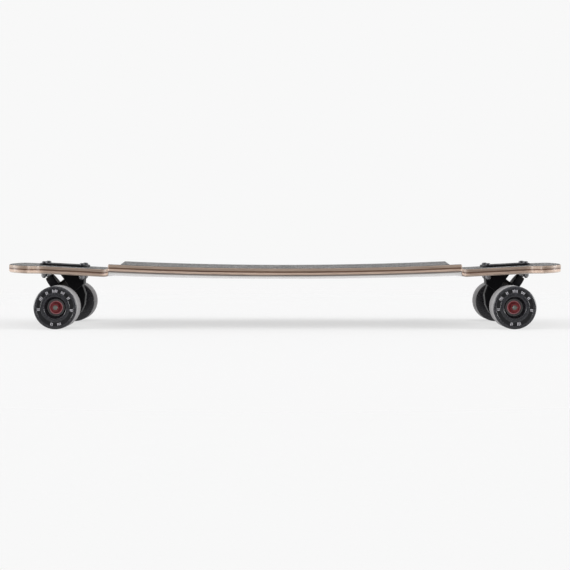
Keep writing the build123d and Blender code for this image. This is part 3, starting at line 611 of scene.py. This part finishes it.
def sheet_piece(name, loops, low, high, inset):
    """One sheet of the deck: the filled outline as its two faces, joined round the edge and its holes.
    inset says how far the edge draws in at each height."""
    points, triangles = filled(loops)
    outer_count = len(loops[0])
    rows = [low + (high - low) * i / EDGE_ROWS for i in range(EDGE_ROWS + 1)]
    verts, faces = [], []

    def place(p, height):
        verts.append((p.x * MM, p.y * MM, (underside(p.x, p.y) + height) * MM))
        return len(verts) - 1

    def cap(height):
        edge = inset_loop(loops[0], inset(height))
        return [place(p, height) for p in edge + points[outer_count:]]

    bottom = cap(rows[0])
    top = cap(rows[-1])
    faces += [[bottom[i] for i in reversed(t)] for t in triangles]
    faces += [[top[i] for i in t] for t in triangles]
    lower = bottom[:outer_count]
    for height in rows[1:]:
        last = height == rows[-1]
        upper = top[:outer_count] if last else [place(p, height) for p in inset_loop(loops[0], inset(height))]
        faces += [(lower[i], lower[(i + 1) % outer_count], upper[(i + 1) % outer_count], upper[i])
                  for i in range(outer_count)]
        lower = upper
    base = outer_count
    for loop in loops[1:]:
        count = len(loop)
        for i in range(count):
            a, b = base + i, base + (i + 1) % count
            faces.append((bottom[a], bottom[b], top[b], top[a]))
        base += count
    return new_piece(name, verts, faces, smooth_angle=38)


def make_deck(mats):
    """The four plies, with slots for the trucks and bolt holes, and the grip sheet on top."""
    outline = deck_loop()
    slots = [box_loop(end, *SLOT_U, SLOT_HALF, SLOT_ROUND) for _, end in ENDS]
    holes = [hole_loop(end, PATTERN_U + i * BOLT_U, j * BOLT_Y)
             for _, end in ENDS for i in (-1, 1) for j in (-1, 1)]
    for name, slot, low, high in LAYERS:
        loops = [outline] + slots + holes
        piece = sheet_piece(name + "_sheet", loops, low + GLUE / 2, high - GLUE / 2, round_inset)
        finish_piece(piece, "deck", mats[name], slot, name)
    edge = inset_loop(outline, GRIP_MARGIN)
    window = (PATTERN_U - WINDOW_HALF_U, PATTERN_U + WINDOW_HALF_U, WINDOW_HALF_Y, WINDOW_ROUND)
    windows = [box_loop(end, *window) for _, end in ENDS]
    low = DECK_THICKNESS + GLUE / 2
    high = low + GRIP_THICKNESS
    grip = sheet_piece("grip_sheet_abrasive", [edge] + windows, low, high,
                       lambda height: max(0.0, height - (high - GRIP_ROUND)) * GRIP_DRAW)
    finish_piece(grip, "deck", mats["grip"], "grip", "grip_sheet")


# ---------------------------------------------------------------- mesh helpers
def new_piece(name, verts, faces, smooth_angle=30):
    mesh = bpy.data.meshes.new(name)
    mesh.from_pydata(verts, [], faces)
    mesh.validate()
    mesh.shade_smooth()
    mesh.set_sharp_from_angle(angle=math.radians(smooth_angle))
    piece = bpy.data.objects.new(name, mesh)
    bpy.context.scene.collection.objects.link(piece)
    return piece


def finish_piece(piece, body, material, slot, *nodes):
    """Gives a new piece its materials, the CAD nodes it stands for and its body; the slot is not used."""
    for item in material if isinstance(material, list) else [material]:
        piece.data.materials.append(item)
    if nodes:
        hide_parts(*nodes)
    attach(piece, body)


def lathe(rings, middle_y, x, z, segments):
    """Vertices and faces of profiles turned about a line along Y, and each face's place in its profile.
    Each profile is a closed list of (distance along the line, radius), in millimetres."""
    verts, faces, places = [], [], []
    for profile in rings:
        base = len(verts)
        count = len(profile)
        for i in range(segments):
            turn = 2 * math.pi * i / segments
            for a, r in profile:
                out, up = r * math.cos(turn), r * math.sin(turn)
                verts.append(((x + out) * MM, (middle_y + a) * MM, (z + up) * MM))
        for i in range(segments):
            for j in range(count):
                here, there = base + i * count, base + ((i + 1) % segments) * count
                k = (j + 1) % count
                faces.append((here + j, here + k, there + k, there + j))
                places.append(j)
    return verts, faces, places


def signed_area(profile):
    return sum(a0 * r1 - a1 * r0 for (a0, r0), (a1, r1) in zip(profile, profile[1:] + profile[:1]))


def outward(profile):
    """The profile in the order that makes its faces look outward."""
    return profile if signed_area(profile) < 0 else profile[::-1]


def arc(centre_a, centre_r, radius, start, end, count):
    """A round in a profile, between two angles in degrees: 0 points along the axle, 90 away from it."""
    turns = [math.radians(start + (end - start) * i / count) for i in range(count + 1)]
    return [(centre_a + radius * math.cos(t), centre_r + radius * math.sin(t)) for t in turns]


# ---------------------------------------------------------------- wheels
WHEEL_Y = 103.0
WHEEL_RADIUS = 35.0
HALF_WIDTH = 25.0
TYRE_SIDES, HUB_SIDES = 144, 96
BAND_IN, BAND_OUT, BAND_DEPTH = 23.6, 30.4, 0.7
RECESS_RADIUS, RECESS_FLOOR = 18.0, 13.0
RECESS_LIP, LIP_OUT = 1.6, 1.1
LIP_SHAPE = [(0.5, 32.4), (0.9, 33.4), (1.4, 34.2), (2.0, 34.75), (2.5, 34.95), (3.4, WHEEL_RADIUS)]
# Groups of ticks round the band: the group's middle in degrees, and how many ticks it has.
TICKS = [(147, 3), (119, 2), (90, 4), (62, 3), (35, 2), (-9, 2), (-76, 3), (-102, 2), (186, 2)]
TICK_TURN, TICK_PITCH = 2.6, 4.7           # degrees
TICK_ROUND = 0.15
TICK_CLEAR, TICK_UNEVEN = 0.7, 0.9         # from the band's edges, and how much shorter a tick may be
TICK_SINK, TICK_BELOW = 0.15, 0.1          # into the band's floor, and below the wheel's face
TICK_STEPS = 4
CORE_BORE, CORE_HUB, CORE_SEAT, CORE_BOND = 8.4, 14.4, 11.03, 22.0
CORE_RIM_HALF, CORE_WEB_HALF, CORE_SHOULDER_HALF, CORE_FLANGE_HALF = 13.6, 5.0, 9.0, 6.0
BEARING_Y = (94.5, 111.5)
BEARING_HALF, RACE_RADII, RACE_ROUND = 3.5, (9.6, 11.0), 0.3
SHIELD_AT, SHIELD_THICKNESS = 3.2, 0.34
SHIELD_FACE = [                            # height of the pressed face, radius
    (0.00, 9.55), (0.12, 9.2), (0.12, 8.9), (-0.10, 8.6),
    (-0.10, 7.3), (0.10, 7.0), (0.10, 6.6), (-0.05, 6.45),
]


def tyre_half(banded):
    """Half of the tyre's section: from the core's bond, up the recess, across the crowned face, over the lip.
    The outer half carries the sunken band."""
    half = HALF_WIDTH
    bond = CORE_FLANGE_HALF + 0.03
    profile = [(bond, CORE_BOND + 0.03), (bond, 15.7), (RECESS_FLOOR - 0.6, 14.6), (RECESS_FLOOR, 15.1)]
    profile += [(RECESS_FLOOR + 0.5, 15.9), (RECESS_FLOOR + 2.2, 16.6), (half - 2.6, RECESS_RADIUS - 0.5)]
    profile += arc(half - RECESS_LIP, RECESS_RADIUS + LIP_OUT, RECESS_LIP, 250, 360, 5)[1:-1]
    profile += [(half, RECESS_RADIUS + 1.6), (half - 0.18, BAND_IN - 0.5)]
    if banded:
        profile += [(half - 0.34, BAND_IN - 0.1), (half - BAND_DEPTH, BAND_IN + 0.25)]
        profile += [(half - BAND_DEPTH, BAND_OUT - 0.25), (half - 0.34, BAND_OUT + 0.1)]
    profile.append((half - 0.22, BAND_OUT + 0.5))
    return profile + [(half - below, r) for below, r in LIP_SHAPE]


def make_tyre(mats, name, body, end, side):
    """The tyre, glossy at its sides, ground on its tread and matte on the floor of the band."""
    outer_half = [(side * a, r) for a, r in tyre_half(True)]
    inner_half = [(-side * a, r) for a, r in tyre_half(False)]
    profile = outer_half + inner_half[::-1]
    floor = [i for i, (a, _) in enumerate(profile) if abs(abs(a) - (HALF_WIDTH - BAND_DEPTH)) < 1e-6]
    materials_by_place = {len(outer_half) - 1: 1, floor[0]: 2}
    ordered = outward(profile)
    verts, faces, places = lathe([ordered], side * WHEEL_Y, end * AXLE_X, AXLE_Z, TYRE_SIDES)
    piece = new_piece(name + "_tyre_cast", verts, faces, smooth_angle=33)
    for polygon, place in zip(piece.data.polygons, places):
        original = place if ordered is profile else (len(profile) - 2 - place) % len(profile)
        polygon.material_index = materials_by_place.get(original, 0)
    finish_piece(piece, body, [mats["gloss"], mats["tread"], mats["band"]], "urethane", name + "_tyre")


def make_bars(mats, name, body, end, side):
    """Plain raised ticks, in groups, in the band of the outer face."""
    verts, faces = [], []
    low_r, high_r = BAND_IN + TICK_CLEAR, BAND_OUT - TICK_CLEAR
    depths = (HALF_WIDTH - BAND_DEPTH - TICK_SINK, HALF_WIDTH - TICK_BELOW)
    for middle, count in TICKS:
        for i in range(count):
            place = middle + (i - (count - 1) / 2) * TICK_PITCH
            turn = place if side < 0 else 180 - place
            start = math.radians(turn - TICK_TURN / 2)
            reach = (low_r + random.uniform(0.0, TICK_UNEVEN), high_r - random.uniform(0.0, TICK_UNEVEN))
            add_bar(verts, faces, start, reach, depths, end, side)
    piece = new_piece(name + "_band_bars", verts, faces)
    finish_piece(piece, body, mats["bars"], "urethane")


def add_bar(verts, faces, start, radii, depths, end, side):
    """One raised bar: an arc of a ring whose top is a little smaller than its foot."""
    steps, span = TICK_STEPS, math.radians(TICK_TURN)
    base = len(verts)
    rims = [(depths[0], 0.0), (depths[1] - TICK_ROUND / 2, 0.0), (depths[1], TICK_ROUND)]
    for depth, draw in rims:
        margin = draw / radii[0]
        for j in range(steps + 1):
            turn = start + margin + (span - 2 * margin) * j / steps
            for r in (radii[0] + draw, radii[1] - draw):
                verts.append(((end * AXLE_X + r * math.cos(turn)) * MM, side * (WHEEL_Y + depth) * MM,
                              (AXLE_Z + r * math.sin(turn)) * MM))
    row = 2 * (steps + 1)
    loop = [2 * j for j in range(steps + 1)] + [2 * j + 1 for j in range(steps, -1, -1)]
    new = []
    for level in range(2):
        for k in range(len(loop)):
            a, b = loop[k], loop[(k + 1) % len(loop)]
            low, high = base + level * row, base + (level + 1) * row
            new.append((low + a, low + b, high + b, high + a))
    top = base + 2 * row
    for j in range(steps):
        new.append((top + 2 * j, top + 2 * j + 2, top + 2 * j + 3, top + 2 * j + 1))
        new.append((base + 2 * j + 1, base + 2 * j + 3, base + 2 * j + 2, base + 2 * j))
    faces += [face if side > 0 else face[::-1] for face in new]


def core_profile():
    """The hub's section: bearing seats inside, a rim either side, a bonding flange in the middle."""
    rim = CORE_RIM_HALF
    half = [(CORE_WEB_HALF, CORE_BORE), (CORE_WEB_HALF, CORE_SEAT)]
    half += [(rim - 0.4, CORE_SEAT), (rim, CORE_SEAT + 0.37), (rim, CORE_HUB - 0.4), (rim - 0.4, CORE_HUB)]
    half += [(CORE_SHOULDER_HALF, CORE_HUB + 0.1), (CORE_FLANGE_HALF, CORE_HUB + 1.2)]
    half.append((CORE_FLANGE_HALF, CORE_BOND))
    return [(-a, r) for a, r in reversed(half)] + half


def make_core(mats, name, body, end, side):
    verts, faces, _ = lathe([outward(core_profile())], side * WHEEL_Y, end * AXLE_X, AXLE_Z, HUB_SIDES)
    piece = new_piece(name + "_core_hub", verts, faces)
    finish_piece(piece, body, mats["rim"], "core_plastic", name + "_core")


def ring_profile(middle, half, inner, outer, soft):
    """A plain ring's section with its corners broken."""
    return [(middle - half, inner + soft), (middle - half, outer - soft), (middle - half + soft, outer),
            (middle + half - soft, outer), (middle + half, outer - soft), (middle + half, inner + soft),
            (middle + half - soft, inner), (middle - half + soft, inner)]


def shield_profile(middle, facing):
    """A pressed shield: a raised rib, a shallow dish and a rolled inner lip."""
    outer = [(middle + facing * a, r) for a, r in SHIELD_FACE]
    back = [(middle + facing * (a - SHIELD_THICKNESS), r) for a, r in reversed(SHIELD_FACE)]
    return outer + back


def make_bearings(mats, name, body, end, side):
    """The outer races and the shields on both faces of the two bearings."""
    middles = [side * (y - WHEEL_Y) for y in BEARING_Y]
    races = [outward(ring_profile(m, BEARING_HALF, *RACE_RADII, RACE_ROUND)) for m in middles]
    verts, faces, _ = lathe(races, side * WHEEL_Y, end * AXLE_X, AXLE_Z, HUB_SIDES)
    piece = new_piece(name + "_outer_race_rings", verts, faces)
    # painted reflection: the steel races are tinted by the red shields beside them
    finish_piece(piece, body, mats["rose"], "bright_steel", name + "_bearing_outer_races")
    shields = [outward(shield_profile(m + f * SHIELD_AT, f)) for m in middles for f in (-1, 1)]
    verts, faces, _ = lathe(shields, side * WHEEL_Y, end * AXLE_X, AXLE_Z, HUB_SIDES)
    piece = new_piece(name + "_shield_discs", verts, faces)
    finish_piece(piece, body, mats["red"], "red_shield", name + "_bearing_shields")


def make_wheels(mats):
    for end_name, end in ENDS:
        for side_name, side in SIDES:
            name = f"{end_name}_{side_name}"
            for make in (make_tyre, make_bars, make_core, make_bearings):
                make(mats, name, name + "_wheel", end, side)


# ---------------------------------------------------------------- CAD pieces that stay, with their finish
CASTINGS = ("baseplate", "hanger")
CASTING_VOXEL = 0.0007
WELD_DISTANCE = 1e-6
CHAMFER_ANGLE = math.radians(32)
MACHINED = [                   # pieces of a truck, their finish, the width of their broken edges
    (("kingpin", "kingpin_nut", "kingpin_washers", "mounting_bolts"), "oxide", 0.00025),
    (("mounting_nuts", "mounting_washers"), "nuts", 0.0002),
    (("axle_nuts", "axle_washers"), "red_nut", 0.0002),
    (("axle", "bearing_inner_races", "bearing_spacers"), "bright", 0.0002),
    (("boardside_bushing", "roadside_bushing", "pivot_cup"), "bushing", 0.0003),
]


def coat(node, material):
    """Gives a CAD piece its one material."""
    piece = NODES[node]
    piece.data.materials.clear()
    piece.data.materials.append(material)
    return piece


def add_modifier(piece, kind, **values):
    modifier = piece.modifiers.new(kind.lower(), kind)
    for key, value in values.items():
        setattr(modifier, key, value)


def soften_casting(piece):
    """Rounds a casting's edges the way a die casting has them."""
    add_modifier(piece, "WELD", merge_threshold=WELD_DISTANCE)
    add_modifier(piece, "REMESH", mode="VOXEL", voxel_size=CASTING_VOXEL, use_smooth_shade=True)
    add_modifier(piece, "SMOOTH", factor=0.5, iterations=4)


def break_edges(piece, width):
    """A fine chamfer on a machined or moulded piece's edges."""
    add_modifier(piece, "WELD", merge_threshold=WELD_DISTANCE)
    add_modifier(piece, "BEVEL", width=width, segments=2, limit_method="ANGLE", angle_limit=CHAMFER_ANGLE,
                 harden_normals=False)


def dress_trucks(mats):
    for end_name, _ in ENDS:
        for part in CASTINGS:
            soften_casting(coat(f"{end_name}_{part}", mats["cast"]))
        for parts, finish, width in MACHINED:
            for part in parts:
                break_edges(coat(f"{end_name}_{part}", mats[finish]), width)
        for side_name, _ in SIDES:
            coat(f"{end_name}_{side_name}_bearing_balls", mats["bright"])


make_camera()
make_studio()
materials = make_materials()
make_deck(materials)
make_wheels(materials)
dress_trucks(materials)
